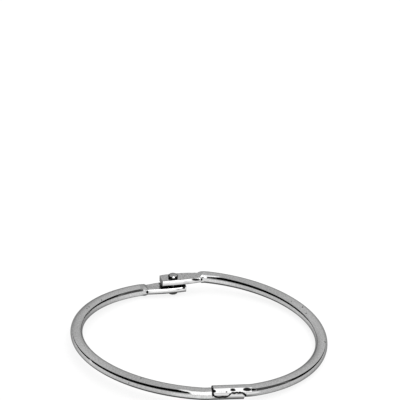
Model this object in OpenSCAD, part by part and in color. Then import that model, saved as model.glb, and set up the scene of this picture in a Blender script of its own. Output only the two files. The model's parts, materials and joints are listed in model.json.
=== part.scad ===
// Hinged snap ring for punched sheets. Two halves, each formed from one
// piece of round wire, turn on a rivet and hook into each other opposite it.
// The rivet stands along Z at +Y, and the clasp is at -Y. The halves are the
// same part, one turned 180 degrees about Y. The closed ring lies with its
// hinge plates level, while its wire dips a little towards +X.

/* [Ring] */
// Inside diameter of the closed ring
inside_d = 76.2; // [50:0.1:90]
// Diameter of the wire
wire_d = 4; // [3:0.1:4.6]

/* [Hinge plates] */
// Thickness of each flattened plate
plate_t = 1.95; // [1.4:0.05:2.4]
// Gap between the two plates
plate_gap = 0.9; // [0.4:0.05:1.2]
// Reach of a plate's outer edge past the rivet axis
plate_out = 2.95; // [2.4:0.05:3.4]
// Reach of a plate's inner edge past the rivet axis
plate_in = 2.75; // [2.4:0.05:3.2]
// Distance from the rivet axis to a plate's square end
plate_end = 4.2; // [3:0.1:5.5]
// Distance from the rivet axis to where a plate starts to thicken
plate_run = 9; // [7.5:0.1:11]
// Length of the ramps from a plate up to the round wire
ramp_run = 1.2; // [0.8:0.1:2]
// Angle by which the wire dips from its plate towards the other half's level
dip = 4; // [0:0.5:6]
// Radius of a plate's arched outer edge
arch_r = 32; // [26:1:45]
// Radius of a plate's flatter inner edge
belly_r = 55; // [40:1:90]
// Distance from the rivet axis to the widest place of a plate
widest_at = 1.2; // [0:0.1:2]
// Rounding along a plate's edges
plate_round = 0.45; // [0.1:0.05:0.6]
// Rounding of the corners at the square end
corner_r = 0.6; // [0.2:0.1:1.2]

/* [Rivet] */
// Diameter of the shank
shank_d = 2; // [1.4:0.1:2.4]
// Diameter of the head
head_d = 3.3; // [2.8:0.1:4.2]
// Height of the head
head_h = 1.25; // [1:0.05:1.8]
// Height of the head's straight wall
head_wall = 0.55; // [0.2:0.05:0.8]
// Diameter of the tail that is formed over
tail_d = 2.7; // [2.5:0.1:3.4]
// Height of the tail
tail_h = 1.2; // [0.6:0.05:1.25]
// Height of the tail's straight wall
tail_wall = 0.3; // [0.1:0.05:0.4]
// Running clearance round the shank
shank_play = 0.05; // [0.03:0.01:0.1]
// Clearance under the head
head_play = 0.1; // [0.06:0.01:0.2]

/* [Clasp] */
// Length over which the two hooks lie on each other
lap = 10.4; // [8:0.1:11]
// Height by which the hooks catch behind each other
catch_h = 1.3; // [0.8:0.05:1.4]
// Length of the steep slope between the two levels of the seam
slope_run = 1.4; // [0.8:0.1:2.4]
// Rounding of a hook's nose
nose_r = 1.4; // [0.4:0.1:1.8]
// Gap between the hooks
seam_gap = 0.22; // [0.12:0.02:0.3]
// Height by which each half stands off the middle at the clasp
clasp_off = 0.36; // [0:0.02:0.5]
// Chamfer round the shoulder that a nose meets
shoulder_chamfer = 0.3; // [0.1:0.05:0.5]

/* [Bends] */
// Bend radius of the wire beside a hinge plate
hinge_bend_r = 5; // [3:0.5:12]
// Straight length of wire on each side of the middle of the clasp
clasp_run = 6.4; // [6.4:0.1:8]
// Bend radius of the wire beside the clasp
clasp_bend_r = 10; // [6:0.5:16]
// Thinning of the wire's radius where it is bent
bend_thin = 0.015; // [0.01:0.005:0.05]

/* [Hidden] */
$fn = 96;

wire_r = wire_d / 2;
ring_r = (inside_d + wire_d) / 2;
plate_off = (plate_t + plate_gap) / 2;

// A straight stretch ends where its bend is tangent to it, and the bend runs
// into the ring where it is tangent to the ring from inside.
function line_y(run, bend_r) = bend_r + sqrt(pow(ring_r - bend_r, 2) - pow(run, 2));
function bend_angle(run, bend_r) = asin(run / (ring_r - bend_r));

hinge_run = plate_run + ramp_run;
hinge_y = line_y(hinge_run, hinge_bend_r);
hinge_angle = bend_angle(hinge_run, hinge_bend_r);
clasp_y = line_y(clasp_run, clasp_bend_r);
clasp_angle = bend_angle(clasp_run, clasp_bend_r);

// The ring dips as a whole about the middle of the hinge. Measured square to
// it, each half rises by this much there, and leans about its hinge line, so
// that it ends nearly level with the other half's hook.
rise = plate_off / cos(dip) + hinge_run * tan(dip);
lean = asin((rise - clasp_off) / (hinge_y + clasp_y));
seam_y = hinge_y - (hinge_y + clasp_y) * cos(lean);

// The ring rests on the lowest place of its right half or on the rivet's
// tail, and the middle of its length is at the origin.
tilt = acos(cos(dip) * cos(lean));
ring_low = ring_r * sin(tilt) + wire_r - (rise - hinge_y * sin(lean)) * cos(dip);
rest_z = max(ring_low, plate_off + plate_t / 2 + tail_h);
middle_y = (hinge_y + plate_out + seam_y - wire_r) / 2;

module along_x(from, to) {
    translate([from, 0, 0]) rotate([0, 90, 0]) linear_extrude(to - from) children();
}

// A disc of the plate's thickness with a rounded edge
module plate_disc(r) {
    straight = plate_t - 2 * plate_round;
    rotate_extrude($fn = 360) {
        translate([0, -plate_t / 2]) square([r - plate_round, plate_t]);
        translate([0, -straight / 2]) square([r, straight]);
        for (side = [0, 1])
            mirror([0, side])
                translate([r - plate_round, straight / 2])
                    intersection() {
                        circle(r = plate_round, $fn = 48);
                        square(plate_round);
                    }
    }
}

// What rounding leaves to cut away at a corner that lies at the origin and
// points to -X, -Y
module corner_waste(r) {
    difference() {
        translate([-1, -1]) square(r + 1);
        translate([r, r]) circle(r = r, $fn = 64);
    }
}

// Height by which an edge of radius r has fallen at the square end
function end_drop(r) = r - sqrt(pow(r, 2) - pow(plate_end + widest_at, 2));

// Flattened end of the wire: two shallow arcs meet a square end. The rivet
// axis is at the origin.
module plate() {
    difference() {
        intersection() {
            translate([widest_at, plate_out - arch_r, 0]) plate_disc(arch_r);
            translate([widest_at, belly_r - plate_in, 0]) plate_disc(belly_r);
            translate([-plate_end, -plate_in, -plate_t])
                cube([plate_end + hinge_run, plate_in + plate_out, 2 * plate_t]);
        }
        translate([0, 0, -plate_t])
            linear_extrude(2 * plate_t) {
                translate([-plate_end, end_drop(belly_r) - plate_in])
                    corner_waste(corner_r);
                translate([-plate_end, plate_out - end_drop(arch_r)])
                    mirror([0, 1]) corner_waste(corner_r);
            }
        cylinder(r = shank_d / 2 + shank_play, h = 2 * plate_t, center = true);
    }
}

// What the press takes off the wire above and below a plate, so that a ramp
// is left at the plate's root
module ramp_waste() {
    step = wire_r - plate_t / 2;
    translate([0, wire_d, 0])
        rotate([90, 0, 0])
            linear_extrude(2 * wire_d)
                for (side = [0, 1])
                    mirror([0, side])
                        polygon([
                            [plate_run - 0.75 * ramp_run, plate_t / 2 - 0.75 * step],
                            [plate_run + 2 * ramp_run, plate_t / 2 + 2 * step],
                            [plate_run - 0.75 * ramp_run, plate_t / 2 + 2 * step]
                        ]);
}

// Wire of radius thick, bent to a ring of radius r
module wire_arc(r, thick, from, to) {
    rotate([0, 0, from])
        rotate_extrude(angle = to - from, $fn = 240)
            translate([r, 0]) circle(r = thick);
}

// A bend of the thinned wire. It runs a little way into the wire at each end.
module bend(r, from, to) {
    grip = 0.15 / r * 180 / PI;
    wire_arc(r, wire_r - bend_thin, from - grip, to + grip);
}

// The wire from inside a plate round to the end of its hook
module bent_wire() {
    translate([0, hinge_y, 0])
        along_x(plate_run - ramp_run / 2, hinge_run) circle(r = wire_r);
    wire_arc(ring_r, wire_r, clasp_angle - 90, 90 - hinge_angle);
    translate([hinge_run, hinge_y - hinge_bend_r, 0])
        bend(hinge_bend_r, 90 - hinge_angle, 90);
    translate([clasp_run, clasp_bend_r - clasp_y, 0])
        bend(clasp_bend_r, -90, clasp_angle - 90);
    translate([0, -clasp_y, 0])
        along_x((seam_gap - lap) / 2, clasp_run) circle(r = wire_r);
}

// The other half's side of the seam in X and Z, grown by the gap. The seam is
// an S: this side's nose points to +X, and its neck runs to -X.
module other_side() {
    neck_z = (seam_gap - catch_h) / 2;
    head_z = (seam_gap + catch_h) / 2;
    nose_x = (seam_gap + lap) / 2;
    hollow_r = nose_r + seam_gap;
    difference() {
        polygon([
            [-lap, -wire_d],
            [nose_x, -wire_d],
            [nose_x, head_z],
            [slope_run / 2, head_z],
            [-slope_run / 2, neck_z],
            [-lap, neck_z]
        ]);
        translate([nose_x, head_z]) rotate(180) corner_waste(hollow_r);
    }
    translate([(seam_gap - lap) / 2, neck_z]) corner_waste(nose_r);
}

// Chamfer on the lower part of the shoulder that the other half's nose meets.
// Its cone runs out of the wire by a little.
module shoulder_waste() {
    over = 0.1;
    translate([(seam_gap + lap) / 2, 0, 0])
        difference() {
            rotate([0, 90, 0]) cylinder(r = wire_d, h = shoulder_chamfer + over / 2);
            rotate([0, 90, 0])
                cylinder(r1 = wire_r - shoulder_chamfer, r2 = wire_r + over,
                         h = shoulder_chamfer + over);
            translate([-wire_d, -wire_d, 0]) cube(2 * wire_d);
        }
}

// The wire with its seam cut, before the ring dips. It leans about its hinge
// line.
module hooked_wire() {
    difference() {
        translate([0, hinge_y, rise])
            rotate([lean, 0, 0]) translate([0, -hinge_y, 0]) bent_wire();
        translate([0, seam_y + wire_d, 0])
            rotate([90, 0, 0]) linear_extrude(2 * wire_d) other_side();
        translate([0, seam_y, clasp_off]) shoulder_waste();
    }
}

module half() {
    translate([0, hinge_y, plate_off]) plate();
    difference() {
        rotate([0, dip, 0]) hooked_wire();
        translate([0, hinge_y, plate_off]) ramp_waste();
    }
}

module left_half() {
    color("silver") rotate([0, 180, 0]) half();
}

module right_half() {
    color("silver") half();
}

// A dome on a short straight wall, seen in section
module domed(r, h, wall) {
    rise = h - wall;
    dome_r = (pow(r, 2) + pow(rise, 2)) / (2 * rise);
    square([r, wall]);
    intersection() {
        translate([0, h - dome_r]) circle(r = dome_r, $fn = 128);
        translate([0, wall]) square([r, rise]);
    }
}

module rivet() {
    stack = plate_off + plate_t / 2;
    color("gainsboro")
        translate([0, hinge_y, 0])
            rotate_extrude() {
                translate([0, -stack]) square([shank_d / 2, 2 * stack + head_play]);
                translate([0, stack + head_play]) domed(head_d / 2, head_h, head_wall);
                mirror([0, 1]) translate([0, stack]) domed(tail_d / 2, tail_h, tail_wall);
            }
}

translate([0, -middle_y, rest_z]) {
    left_half();
    right_half();
    rivet();
}
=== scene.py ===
import json
import math
import bpy
from mathutils import Matrix, Vector


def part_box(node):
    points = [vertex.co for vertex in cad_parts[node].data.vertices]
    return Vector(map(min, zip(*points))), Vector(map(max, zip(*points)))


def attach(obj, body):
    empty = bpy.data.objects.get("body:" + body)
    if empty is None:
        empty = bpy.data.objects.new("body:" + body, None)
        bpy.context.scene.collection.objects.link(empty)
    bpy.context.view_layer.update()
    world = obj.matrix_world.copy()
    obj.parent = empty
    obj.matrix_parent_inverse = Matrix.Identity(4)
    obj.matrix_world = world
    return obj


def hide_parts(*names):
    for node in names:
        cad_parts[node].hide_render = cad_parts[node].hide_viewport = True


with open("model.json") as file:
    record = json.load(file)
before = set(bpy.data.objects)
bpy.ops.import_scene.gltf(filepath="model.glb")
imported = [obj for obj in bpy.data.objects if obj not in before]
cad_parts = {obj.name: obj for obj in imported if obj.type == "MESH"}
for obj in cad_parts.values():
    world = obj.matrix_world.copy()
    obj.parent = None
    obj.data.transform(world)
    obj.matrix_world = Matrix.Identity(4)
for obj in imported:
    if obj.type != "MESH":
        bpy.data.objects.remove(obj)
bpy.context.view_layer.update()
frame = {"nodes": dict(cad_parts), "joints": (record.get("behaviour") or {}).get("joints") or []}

# ---------------------------------------------------------------------------
# Camera.
# A long lens from above, turned a little to one side, with the ring low in the frame.
camera_at = Vector((-0.21194, -0.86045, 0.46718))
looks_at = Vector((0.00429, 0.01984, 0.04306))
camera_roll = math.radians(1.13)
focal_length = 274.8

camera = bpy.data.objects.new("camera", bpy.data.cameras.new("camera"))
bpy.context.collection.objects.link(camera)
camera.data.lens = focal_length
camera.data.sensor_width = 36
camera.data.clip_start = 0.05
camera.data.clip_end = 50
turn = (looks_at - camera_at).to_track_quat("-Z", "Y").to_matrix().to_4x4()
camera.matrix_world = Matrix.Translation(camera_at) @ turn @ Matrix.Rotation(camera_roll, 4, "Z")
bpy.context.scene.camera = camera
bpy.context.scene.view_settings.view_transform = "Standard"


# ---------------------------------------------------------------------------
# Studio.
# A white sweep under a grey ceiling. In front stand a white card and, on both sides
# of it, dark flags, which draw the dark line along the wire.
def node(tree, kind, inputs=None, **settings):
    made = tree.nodes.new(kind)
    for name, value in settings.items():
        setattr(made, name, value)
    for name, value in (inputs or {}).items():
        if isinstance(value, bpy.types.NodeSocket):
            tree.links.new(value, made.inputs[name])
        else:
            made.inputs[name].default_value = value
    return made


def maths(tree, operation, a, b=0.0, clamp=False):
    made = node(tree, "ShaderNodeMath", {0: a, 1: b}, operation=operation, use_clamp=clamp)
    return made.outputs[0]


def product(tree, first, *others):
    for other in others:
        first = maths(tree, "MULTIPLY", first, other)
    return first


def rises(tree, value, start, end):
    made = node(
        tree, "ShaderNodeMapRange", {"Value": value, "From Min": start, "From Max": end},
        interpolation_type="SMOOTHSTEP",
    )
    return made.outputs[0]


def between(tree, value, low, high, soft):
    up = rises(tree, value, low - soft, low + soft)
    down = rises(tree, value, high + soft, high - soft)
    return product(tree, up, down)


def mixed(tree, factor, a, b):
    return node(tree, "ShaderNodeMix", {0: factor, 2: a, 3: b}).outputs[0]


def layered(tree, value, layers):
    for where, laid_on in layers:
        value = mixed(tree, where, value, laid_on)
    return value


studio = bpy.data.worlds.new("studio")
bpy.context.scene.world = studio
studio.use_nodes = True
air = studio.node_tree
air.nodes.clear()
towards = node(air, "ShaderNodeTexCoord").outputs["Generated"]
split = node(air, "ShaderNodeSeparateXYZ", {0: towards})
behind = maths(air, "MULTIPLY", split.outputs["Y"], -1)
bearing = maths(air, "DEGREES", maths(air, "ARCTAN2", split.outputs["X"], behind))
height = maths(air, "DEGREES", maths(air, "ARCSINE", split.outputs["Z"]))


# Panels stand at bearings from -Y and at heights above the floor, all in degrees. A
# flag gets lower and narrower the further it stands from -Y.
def patch(bearings, heights, soft):
    edge = 2
    return product(
        air, between(air, bearing, *bearings, soft), between(air, height, *heights, edge)
    )


def flag(bearings, top, fall, soft):
    half_height, taper, edge = 28, 0.11, 3
    back = maths(air, "ABSOLUTE", bearing)
    middle = maths(air, "SUBTRACT", top, product(air, back, fall))
    half = maths(air, "SUBTRACT", half_height, product(air, back, taper))
    off = maths(air, "ABSOLUTE", maths(air, "SUBTRACT", height, middle))
    inside = rises(air, maths(air, "SUBTRACT", off, half), edge, -edge)
    return product(air, inside, between(air, bearing, *bearings, soft))


# The card leans outwards near its top on the left, and ends at an upright edge on the
# right, square to card_right.
card_lean, card_left, card_right_end = 12, -17.5, 70
card_bottom, card_top = -8, 62
card_right = (0.993, 0.115, 0)
leaning = maths(air, "ADD", bearing, product(air, rises(air, height, 36, 64), card_lean))
rightwards = node(
    air, "ShaderNodeVectorMath", {0: towards, 1: card_right}, operation="DOT_PRODUCT"
).outputs["Value"]
card = product(
    air,
    between(air, leaning, card_left, card_right_end, 1.5),
    rises(air, rightwards, 0.32, 0.29),
    between(air, height, card_bottom, card_top, 2),
)

ceiling_level, more_to_the_right = 0.83, 0.2
black, deep_grey, dark_grey = 0.003, 0.04, 0.13
above_card_level, card_level = 1.5, 2.3
light = product(air, maths(air, "MAXIMUM", split.outputs["X"], 0), more_to_the_right)
light = maths(air, "ADD", ceiling_level, light)
light = layered(air, light, [
    (flag((-160, -9), 45, 0.34, 2), black),
    (patch((18, 46), (12, 52), 3), black),
    (patch((36, 44), (0, 30), 4), deep_grey),
    (flag((42, 70), 41, 0.42, 4), dark_grey),
    (flag((70, 134), 44, 0.42, 8), black),
    (patch((-31, -14), (58, 76), 3), above_card_level),
    (card, card_level),
])
shades = node(air, "ShaderNodeBackground", {"Color": (1, 1, 1, 1), "Strength": light})
paper = node(air, "ShaderNodeBackground", {"Color": (1, 1, 1, 1), "Strength": 1.0})
seen = node(air, "ShaderNodeLightPath")
backdrop = node(
    air, "ShaderNodeMixShader",
    {0: seen.outputs["Is Camera Ray"], 1: shades.outputs[0], 2: paper.outputs[0]},
)
node(air, "ShaderNodeOutputWorld", {"Surface": backdrop.outputs[0]})

softbox = bpy.data.objects.new("softbox", bpy.data.lights.new("softbox", "AREA"))
bpy.context.collection.objects.link(softbox)
softbox.data.shape = "DISK"
softbox.data.size = 2.6
softbox.data.energy = 20
softbox.location = (0.1, -0.1, 1.7)
softbox.rotation_euler = (-softbox.location.xyz).to_track_quat("-Z", "Y").to_euler()
softbox.visible_glossy = False

sweep_radius, sweep_corners = 6, 64
sweep = bpy.data.objects.new("sweep", bpy.data.meshes.new("sweep"))
bpy.context.collection.objects.link(sweep)
angles = [math.tau * k / sweep_corners for k in range(sweep_corners)]
circle = [(sweep_radius * math.cos(a), sweep_radius * math.sin(a), 0) for a in angles]
sweep.data.from_pydata(circle, [], [list(range(sweep_corners))])
white = bpy.data.materials.new("white_sweep")
white.use_nodes = True
cloth = white.node_tree
matt = cloth.nodes["Principled BSDF"]
matt.inputs["Base Color"].default_value = (0.95, 0.95, 0.95, 1)
matt.inputs["Roughness"].default_value = 0.9
matt.inputs["Specular IOR Level"].default_value = 0.0
glow = node(cloth, "ShaderNodeEmission", {"Strength": 1.0})
glow_share = 0.8
rays = node(cloth, "ShaderNodeLightPath").outputs
straight = maths(cloth, "ADD", rays["Is Camera Ray"], rays["Is Glossy Ray"], clamp=True)
straight = maths(cloth, "ADD", straight, rays["Is Transmission Ray"], clamp=True)
lit = node(
    cloth, "ShaderNodeMixShader",
    {0: product(cloth, straight, glow_share), 1: matt.outputs[0], 2: glow.outputs[0]},
)
cloth.links.new(lit.outputs[0], cloth.nodes["Material Output"].inputs["Surface"])
sweep.data.materials.append(white)


# ---------------------------------------------------------------------------
# The two ring halves.
# Nickel plated steel wire, bent, pressed flat at the hinge and cut into hooks at the
# clasp. The plates are mottled, with painted sheen and painted shade on their sides; the cuts
# and the ramps are duller.
pivot = Vector(frame["joints"][0]["pos_m"])


def metal(name):
    made = bpy.data.materials.new(name)
    made.use_nodes = True
    tree = made.node_tree
    coat = tree.nodes["Principled BSDF"]
    coat.inputs["Metallic"].default_value = 1.0
    coat.inputs["Specular Tint"].default_value = (0.3, 0.3, 0.3, 1)
    place = node(tree, "ShaderNodeTexCoord").outputs
    offset = node(
        tree, "ShaderNodeVectorMath", {0: place["Object"], 1: pivot}, operation="SUBTRACT"
    )
    mm = node(
        tree, "ShaderNodeVectorMath", {0: offset.outputs[0], "Scale": 1000}, operation="SCALE"
    )
    facing = node(tree, "ShaderNodeSeparateXYZ", {0: place["Normal"]}).outputs
    return made, tree, coat, mm.outputs[0], facing


def noise(tree, vector, scale, detail=2.0):
    made = node(tree, "ShaderNodeTexNoise", {"Vector": vector, "Scale": scale, "Detail": detail})
    return made.outputs["Fac"]


def magnitude(tree, value):
    return maths(tree, "ABSOLUTE", value)


def length(tree, across, up):
    pair = node(tree, "ShaderNodeCombineXYZ", {0: across, 1: up}).outputs[0]
    made = node(tree, "ShaderNodeVectorMath", {0: pair}, operation="LENGTH")
    return made.outputs["Value"]


def relief_of(tree, parts):
    total = 0.0
    for part, depth in parts:
        total = maths(tree, "ADD", total, product(tree, part, depth))
    return total


def finish_metal(tree, coat, colour, roughness, relief):
    rounded_edge = 0.00009
    tree.links.new(colour, coat.inputs["Base Color"])
    tree.links.new(roughness, coat.inputs["Roughness"])
    edges = node(tree, "ShaderNodeBevel", {"Radius": rounded_edge}, samples=6)
    bump = node(
        tree, "ShaderNodeBump",
        {"Height": relief, "Distance": 0.001, "Strength": 1.0, "Normal": edges.outputs[0]},
    )
    tree.links.new(bump.outputs[0], coat.inputs["Normal"])


# Places are in millimetres from the pivot.
plating, tree, coat, mm, facing = metal("ring_wire")
x, y, z = node(tree, "ShaderNodeSeparateXYZ", {0: mm}).outputs
from_middle_line = magnitude(tree, x)

# Where the wire is pressed flat, and which of its surfaces are the plates' sides, their
# sheared ends, the corner behind each end and the faces in the gap (both painted near black as
# shade) and the left ramp.
behind_ramps = rises(tree, y, -6.5, -5.5)
pressed = product(tree, rises(tree, from_middle_line, 10.0, 8.8), behind_ramps)
side = product(tree, pressed, rises(tree, magnitude(tree, facing["Y"]), 0.45, 0.8))
sheared = product(tree, pressed, rises(tree, magnitude(tree, facing["X"]), 0.6, 0.85))
shaded_far_corner = product(
    tree, pressed,
    rises(tree, magnitude(tree, facing["Z"]), 0.8, 0.6),
    rises(tree, from_middle_line, 4.4, 4.2),
    rises(tree, from_middle_line, 3.2, 3.5),
    rises(tree, y, 1.0, 1.6),
)
shaded_gap = product(
    tree, pressed,
    rises(tree, from_middle_line, 4.7, 4.3), rises(tree, magnitude(tree, z), 0.56, 0.48),
)
left_ramp = product(
    tree, behind_ramps, between(tree, x, -11.6, -8.8, 0.3), rises(tree, facing["Z"], 0.35, 0.6)
)

# The hooks' cut faces: level along Y and inside the wire, or square to it. The whole
# clasp slopes by the dip, down towards +X.
dip = math.tan(math.radians(4))
level_z = maths(tree, "ADD", z, product(tree, x, dip))
at_clasp = product(
    tree, rises(tree, from_middle_line, 5.95, 5.8), rises(tree, y, -74.0, -75.0)
)
cut = product(
    tree, at_clasp,
    rises(tree, magnitude(tree, facing["Y"]), 0.10, 0.04),
    rises(tree, magnitude(tree, level_z), 1.9, 1.8),
)
square_cut = product(tree, at_clasp, rises(tree, magnitude(tree, facing["X"]), 0.6, 0.8))

# Painted highlights: bright bands above and below the seam of the hooks; the lower one is
# painted darker, as shade, where it turns down.
hooks = product(tree, rises(tree, from_middle_line, 14, 10), rises(tree, y, -72, -75))
upper_painted_highlight = product(
    tree, hooks,
    between(tree, facing["Z"], 0.70, 0.84, 0.04), between(tree, x, -5.2, 7.5, 0.4),
)
lower_painted_highlight = product(
    tree, hooks,
    between(tree, facing["Z"], -0.4, 0.15, 0.12), between(tree, x, -5.5, 10, 0.7),
)

# The dark line along the seam of the hooks: two levels joined by a slope, with a round
# nose at each end. Half a turn about Y brings the seam back onto itself.
nose_radius, nose_middle_x, nose_middle_z = 1.51, 3.8, -0.86
slope_top, slope_fall = 0.65, 0.93
wire_middle_y = -77.98
burr = noise(tree, mm, 1.1)
raggedness = 0.7
level = product(tree, level_z, maths(tree, "SIGN", x))
slope = maths(tree, "SUBTRACT", slope_top, product(tree, from_middle_line, slope_fall))
level = maths(tree, "ADD", level, maths(tree, "MAXIMUM", slope, 0))
from_nose = length(
    tree,
    maths(tree, "MAXIMUM", maths(tree, "SUBTRACT", from_middle_line, nose_middle_x), 0),
    maths(tree, "MAXIMUM", maths(tree, "SUBTRACT", level, nose_middle_z), 0),
)
off_seam = magnitude(tree, maths(tree, "SUBTRACT", from_nose, nose_radius))
ragged = product(tree, maths(tree, "SUBTRACT", burr, 0.5), raggedness)
off_seam = maths(tree, "ADD", off_seam, ragged)
from_wire_middle = length(tree, maths(tree, "SUBTRACT", y, wire_middle_y), level_z)
seam = product(
    tree, at_clasp,
    rises(tree, off_seam, 0.42, 0.26),
    rises(tree, facing["Z"], 0.85, 0.7),
    rises(tree, from_wire_middle, 1.62, 1.78),
)


# Oval marks, each in X and Z on the sides towards -Y, or in X and Y on the top: its
# place, half its width and height, and its slant.
def mark(upright, across, up, wide, high, slant):
    off_x = maths(tree, "SUBTRACT", x, across)
    off_up = maths(tree, "SUBTRACT", upright, up)
    off_up = maths(tree, "SUBTRACT", off_up, product(tree, off_x, slant))
    reach = length(
        tree, maths(tree, "DIVIDE", off_x, wide), maths(tree, "DIVIDE", off_up, high)
    )
    return rises(tree, reach, 1.2, 0.8)


def marks(where, upright, ovals):
    found = mark(upright, *ovals[0])
    for oval in ovals[1:]:
        found = maths(tree, "MAXIMUM", found, mark(upright, *oval))
    return product(tree, found, where)


towards_clasp = rises(tree, facing["Y"], -0.3, -0.5)
at_hinge = product(tree, rises(tree, y, -7, -5), towards_clasp)
near_clasp = product(tree, rises(tree, y, -70, -73), towards_clasp)
# Painted shade: near-black spots at the hinge and by the clasp stand in for shade and dark
# reflections.
painted_shade_spots = maths(
    tree, "MAXIMUM",
    marks(at_hinge, z, [
        (-9.3, -1.3, 0.42, 0.55, 0), (9.45, 1.6, 0.36, 0.50, 0), (7.4, 1.85, 1.5, 0.40, -0.16),
        (3.3, -0.80, 0.5, 0.34, 0), (2.0, -0.98, 1.5, 0.12, 0.1),
    ]),
    marks(near_clasp, z, [
        (1.25, 1.50, 0.9, 0.36, -0.1), (5.9, 1.15, 1.4, 0.45, -0.1),
        (-4.75, 1.75, 0.45, 0.42, 0), (-0.9, 1.15, 0.3, 0.18, 0),
    ]),
)
specks = marks(rises(tree, facing["Z"], 0.2, 0.5), y, [
    (38.1, -27.1, 0.26, 0.34, 0), (38.3, -31.0, 0.22, 0.24, 0), (39.3, -51.1, 0.26, 0.3, 0),
    (-33.1, -17.2, 0.26, 0.2, 0), (-32.1, -15.9, 0.3, 0.2, 0), (-26.8, -10.4, 0.24, 0.22, 0),
    (-26.2, -69.2, 0.3, 0.22, 0),
])
# A painted glint: one bright streak on the wire's outer side.
painted_glint = marks(
    between(tree, facing["Z"], 0.2, 0.65, 0.1), y, [(-39.2, -53.4, 0.3, 0.45, -2.7)]
)

# Painted shade: the underside is painted darker towards the left, and along the plates.
# Each plate's side is painted darker along its lower edge, as shade.
leftwards = maths(tree, "MAXIMUM", rises(tree, facing["X"], 0.2, -0.1), pressed)
painted_underside_shade = product(tree, between(tree, facing["Z"], -0.85, -0.35, 0.1), leftwards)
plate_middle_z, lower_plate_raise = 1.425, 0.2
to_plate_middle = product(tree, maths(tree, "SIGN", z), plate_middle_z)
in_plate = maths(tree, "SUBTRACT", z, to_plate_middle)
lower_plate = rises(tree, z, 0.3, -0.3)
off_edge = maths(tree, "SUBTRACT", in_plate, product(tree, lower_plate, lower_plate_raise))
painted_low_edge_shade = product(tree, rises(tree, off_edge, -0.50, -0.80), side)

# Draw lines run along the wire, round the ring.
ring_middle_y = -38.6
radius = length(tree, x, maths(tree, "SUBTRACT", y, ring_middle_y))
lines_across, lines_along = 4.0, 0.06
drawn_at = node(
    tree, "ShaderNodeCombineXYZ",
    {0: product(tree, radius, lines_across), 1: product(tree, z, lines_across),
     2: product(tree, x, lines_along)},
)
drawn = node(
    tree, "ShaderNodeTexNoise",
    {"Vector": drawn_at.outputs[0], "W": product(tree, y, lines_along), "Scale": 1.0},
    noise_dimensions="4D",
).outputs["Fac"]
lumps = noise(tree, mm, 0.35)
grain = noise(tree, mm, 2.6, 3.0)
mottle = noise(tree, mm, 1.3, 4.0)
mottled = rises(tree, mottle, 0.35, 0.65)
rolled = node(tree, "ShaderNodeCombineXYZ", {0: product(tree, x, 0.3), 1: y, 2: z})
streaks = noise(tree, rolled.outputs[0], 1.2, 3.0)

# A few pits, each in its own cell.
cells = node(tree, "ShaderNodeTexVoronoi", {"Vector": mm, "Scale": 0.28})
chance = node(tree, "ShaderNodeSeparateXYZ", {0: cells.outputs["Color"]}).outputs["X"]
pits = product(
    tree, rises(tree, cells.outputs["Distance"], 0.075, 0.045), rises(tree, chance, 0.60, 0.62)
)

# Painted light: the plating is painted paler round the ring's left and right, and painted
# highlights lie low on the wire beside the hinge and left of the clasp.
low_on_wire = rises(tree, facing["Z"], 0.24, 0.14)
hinge_low_highlight = product(tree, low_on_wire, rises(tree, y, -9, -2.5))
clasp_left_highlight = product(
    tree, low_on_wire, rises(tree, y, -69, -74), between(tree, x, -18, -4, 2)
)
plain = product(
    tree,
    mixed(tree, rises(tree, grain, 0.3, 0.7), 0.40, 0.54),
    mixed(tree, rises(tree, from_middle_line, 31, 40), 0.96, 1.17),
)
blotched = product(tree, plain, mixed(tree, mottled, 0.95, 1.22))
colour = product(
    tree,
    mixed(tree, pressed, plain, blotched),
    mixed(tree, hinge_low_highlight, 1, mixed(tree, rises(tree, x, -3, 3), 1.25, 1.45)),
    mixed(tree, clasp_left_highlight, 1, 1.4),
)
# Painted sheen: the plates' sides are painted bright towards the top and darker downwards, the
# lower plate darker, with streaks.
painted_sheen = product(
    tree,
    mixed(tree, rises(tree, in_plate, 0.5, -0.4), 0.92, mixed(tree, lower_plate, 0.6, 0.48)),
    mixed(tree, rises(tree, streaks, 0.32, 0.5), 0.8, 1.05),
)
upper_plate_edge_shade = mixed(tree, rises(tree, streaks, 0.35, 0.6), 0.45, 0.15)
# The dark seam line, and the painted shade spots.
seam_and_shade_spots = maths(tree, "MAXIMUM", seam, painted_shade_spots)
colour = layered(tree, colour, [
    (upper_painted_highlight, 0.95),
    (lower_painted_highlight, mixed(tree, rises(tree, facing["Z"], 0.1, -0.35), 0.8, 0.32)),
    (side, painted_sheen),
    (painted_low_edge_shade, mixed(tree, lower_plate, upper_plate_edge_shade, 0.07)),
    (painted_underside_shade, mixed(tree, pressed, 0.12, 0.05)),
    (sheared, 0.36),
    (shaded_far_corner, 0.04),
    (shaded_gap, 0.10),
    (left_ramp, 0.38),
    (square_cut, 0.18),
    (cut, mixed(tree, grain, 0.16, 0.30)),
    (seam_and_shade_spots, 0.012),
    (maths(tree, "MAXIMUM", pits, specks), 0.10),
    (painted_glint, 0.95),
])

dull = maths(
    tree, "MAXIMUM",
    maths(tree, "MAXIMUM", seam_and_shade_spots, cut), maths(tree, "MAXIMUM", sheared, painted_glint),
)
rough = layered(tree, mixed(tree, rises(tree, drawn, 0.3, 0.7), 0.03, 0.08), [
    (pressed, mixed(tree, mottled, 0.13, 0.24)),
    (dull, 0.42),
    (left_ramp, 0.5),
])
relief = relief_of(tree, [
    (lumps, 0.005), (drawn, 0.0012), (grain, 0.0012),
    (product(tree, mottle, pressed), 0.012), (pits, -0.03),
])
finish_metal(tree, coat, colour, rough, relief)

for name in ("left_half", "right_half"):
    frame["nodes"][name].data.materials.clear()
    frame["nodes"][name].data.materials.append(plating)

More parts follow.
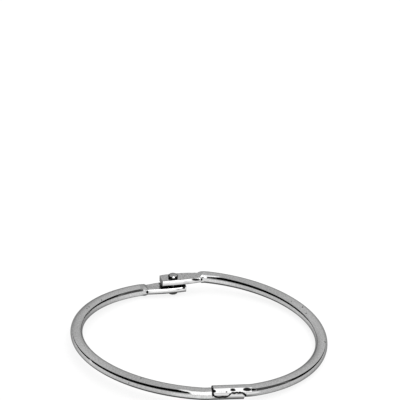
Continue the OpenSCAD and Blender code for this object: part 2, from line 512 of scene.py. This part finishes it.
# ---------------------------------------------------------------------------
# The rivet.
# Nickel plated steel: a round head on top, a shank through both plates and a tail
# formed over below. The foot, the back of the head and the tail's rim are painted dark as shade,
# and the front of the head's shoulder carries a painted highlight.
steel, tree, coat, mm, facing = metal("rivet_steel")
x, y, z = node(tree, "ShaderNodeSeparateXYZ", {0: mm}).outputs
rivet_low, rivet_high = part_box("rivet")
head_height, tail_height = 1.25, 1.2
shank_radius, tail_radius = 1.0, 1.62
tail_end = (rivet_low.z - pivot.z) * 1000
head_foot = (rivet_high.z - pivot.z) * 1000 - head_height
head_radius = (rivet_high.x - rivet_low.x) * 500
grain = noise(tree, mm, 3.0, 3.0)
grained = rises(tree, grain, 0.3, 0.7)
dents = noise(tree, mm, 0.9)
radius = length(tree, x, y)

# A band of painted shade round the foot of the head rises to both sides of a bright middle.
band_middle_x, band_rise = -0.2, 0.42
aside = magnitude(tree, maths(tree, "SUBTRACT", x, band_middle_x))
lifted = product(tree, rises(tree, aside, 0.2, 0.8), band_rise)
above_foot = maths(tree, "SUBTRACT", maths(tree, "SUBTRACT", z, head_foot), lifted)
painted_foot_shade = product(
    tree, rises(tree, z, head_foot - 0.3, head_foot - 0.1), rises(tree, above_foot, 0.38, 0.24)
)
# Painted shade along the back edge of the head.
back = product(tree, rises(tree, radius, 1.1, 1.45), rises(tree, y, -0.9, -0.2))
# A painted highlight on the front of the head's shoulder.
painted_head_highlight = product(
    tree, between(tree, facing["Z"], 0.1, 0.68, 0.08), rises(tree, y, -0.5, -1.0)
)
# Painted shade on the tail's rim.
painted_tail_shade = product(
    tree, rises(tree, z, tail_end + 1.5, tail_end + 1.3), rises(tree, radius, 1.1, 1.3)
)
colour = layered(tree, mixed(tree, grained, 0.28, 0.40), [
    (painted_head_highlight, 0.85), (back, 0.05), (painted_foot_shade, 0.04), (painted_tail_shade, 0.06),
])
rough = layered(tree, mixed(tree, grained, 0.05, 0.12), [
    (maths(tree, "MAXIMUM", painted_foot_shade, painted_tail_shade), 0.3),
])
finish_metal(tree, coat, colour, rough, relief_of(tree, [(dents, 0.015), (grain, 0.0015)]))

# Its profile, from the middle of the tail to the middle of the head, is turned round Z.
profile = [
    (0.0, tail_end), (1.0, tail_end + 0.01), (1.42, tail_end + 0.09),
    (1.6, tail_end + 0.28), (tail_radius, tail_end + 0.6), (1.5, tail_end + tail_height),
    (shank_radius, tail_end + tail_height), (shank_radius, head_foot), (1.45, head_foot),
    (head_radius - 0.04, head_foot + 0.14), (head_radius, head_foot + 0.38),
    (head_radius - 0.07, head_foot + 0.57), (head_radius - 0.24, head_foot + 0.80),
    (head_radius - 0.50, head_foot + 1.00), (head_radius - 0.86, head_foot + 1.15),
    (head_radius - 1.25, head_foot + 1.23), (0.0, head_foot + head_height),
]
steps = 48
points = [(0, 0, profile[0][1])]
for r, up in profile[1:-1]:
    for k in range(steps):
        angle = math.tau * k / steps
        points.append((r * math.cos(angle), r * math.sin(angle), up))
points.append((0, 0, profile[-1][1]))
last = len(points) - 1
faces = []
for k in range(steps):
    following = (k + 1) % steps
    faces.append((0, 1 + following, 1 + k))
    faces.append((last, last - steps + k, last - steps + following))
    for ring in range(len(profile) - 3):
        start = 1 + ring * steps
        beyond = start + steps
        faces.append((start + k, start + following, beyond + following, beyond + k))
rivet = bpy.data.objects.new("formed_rivet", bpy.data.meshes.new("formed_rivet"))
bpy.context.collection.objects.link(rivet)
rivet.data.from_pydata([Vector(p) / 1000 + pivot for p in points], [], faces)
rivet.data.shade_smooth()
rivet.data.materials.append(steel)
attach(rivet, "rivet")
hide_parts("rivet")
